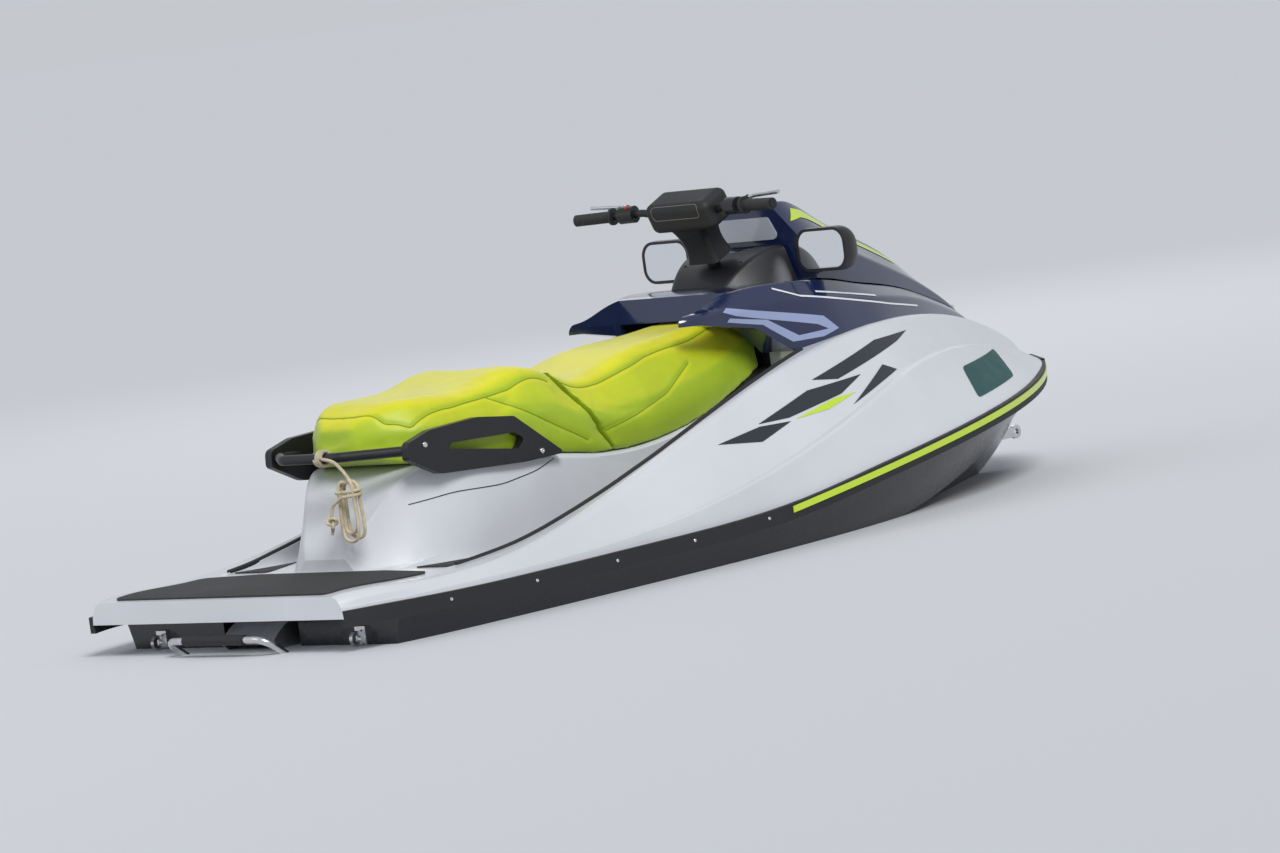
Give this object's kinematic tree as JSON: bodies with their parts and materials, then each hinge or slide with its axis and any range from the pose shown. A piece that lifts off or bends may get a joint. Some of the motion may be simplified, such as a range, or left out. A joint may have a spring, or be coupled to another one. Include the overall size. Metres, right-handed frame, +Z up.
{
  "type": "personal watercraft",
  "caption": "Sit-down runabout for three: keeled hull, stepped seat, handlebar, front hood, jet pump with nozzle and bucket.",
  "frame": {"origin": "on the centreline, amidships, in the plane of the still water on which the empty craft floats", "axes": "+X forward to the bow, +Y to port, +Z up"},
  "size_m": [3.357, 1.25, 1.2275],
  "materials": {
    "hull_gelcoat": "gloss",
    "deck_gelcoat": "gloss",
    "hood_gelcoat": "gloss",
    "seat_vinyl": "matte",
    "trim_black": "matte",
    "trim_lime": "gloss",
    "soft_black": "matte",
    "mat_foam": "matte",
    "alloy": "satin",
    "steel": "satin",
    "engine_grey": "satin",
    "panel_grey": "gloss",
    "mirror_silver": "polished",
    "display": "gloss",
    "tub_black": "matte",
    "rope_fibre": "matte"
  },
  "bodies": {
    "craft": {"bow_bumper": "soft_black", "bow_eye": "steel", "console": "trim_black", "deck": "deck_gelcoat", "drain_plug_port": "trim_black", "drain_plug_starboard": "trim_black", "engine_block": "engine_grey", "footwell_mat_port": "mat_foam", "footwell_mat_starboard": "mat_foam", "front_shroud": "hood_gelcoat", "gauge": "display", "grab_rail": "trim_black", "hood_hinge": "steel", "hull": "hull_gelcoat", "intake_duct": "trim_black", "intake_grate": "alloy", "mooring_hank": "rope_fibre", "mooring_hitch": "rope_fibre", "mooring_line": "rope_fibre", "platform_mat": "mat_foam", "pump_housing": "alloy", "rail_stripe_port": "trim_lime", "rail_stripe_starboard": "trim_lime", "ride_plate": "alloy", "rub_rail_port": "soft_black", "rub_rail_starboard": "soft_black", "seat_front": "seat_vinyl", "seat_rear": "seat_vinyl", "sponson_port": "trim_black", "sponson_starboard": "trim_black", "step_bracket_port": "steel", "step_bracket_starboard": "steel", "stern_eye_port": "steel", "stern_eye_starboard": "steel", "storage_tub": "tub_black"},
    "hood": {"hood_lid": "hood_gelcoat", "hood_crest": "trim_lime", "mirror_port": "hood_gelcoat", "mirror_starboard": "hood_gelcoat", "mirror_glass_port": "mirror_silver", "mirror_glass_starboard": "mirror_silver", "hood_panel": "panel_grey"},
    "handlebar": {"steering_column": "alloy", "column_cover": "trim_black", "handlebar": "trim_black", "handlebar_pad": "soft_black", "grip_port": "soft_black", "grip_starboard": "soft_black", "switch_pod_port": "trim_black", "switch_pod_starboard": "trim_black", "reverse_lever": "alloy", "throttle_lever": "alloy"},
    "nozzle": {"steering_nozzle": "alloy"},
    "bucket": {"reverse_bucket": "alloy"},
    "rotor": {"impeller": "steel", "drive_shaft": "steel"},
    "step": {"boarding_step": "steel", "step_tread": "soft_black"}
  },
  "joints": [
    {"name": "hood_open", "type": "hinge", "parent": "craft", "child": "hood", "pos_m": [1.354, 0, 0.511], "axis": [0, 1, 0], "range_deg": [0, 50]},
    {"name": "handlebar_steer", "type": "hinge", "parent": "craft", "child": "handlebar", "pos_m": [0.405, 0, 0.785], "axis": [-0.4067, 0, 0.9135], "range_deg": [-25, 25]},
    {"name": "nozzle_steer", "type": "hinge", "parent": "craft", "child": "nozzle", "pos_m": [-1.482, 0, -0.105], "axis": [0, 0, 1], "range_deg": [-20, 20]},
    {"name": "bucket_drop", "type": "hinge", "parent": "craft", "child": "bucket", "pos_m": [-1.425, 0, -0.095], "axis": [0, -1, 0], "range_deg": [0, 80]},
    {"name": "step_fold", "type": "hinge", "parent": "craft", "child": "step", "pos_m": [-1.526, 0, -0.06], "axis": [0, -1, 0], "range_deg": [0, 118]},
    {"name": "impeller_spin", "type": "hinge", "parent": "craft", "child": "rotor", "pos_m": [-1.24, 0, -0.105], "axis": [1, 0, 0], "continuous": true}
  ],
  "couplings": [
    {"joint": "nozzle_steer", "follows": "handlebar_steer", "ratio": -0.8}
  ]
}
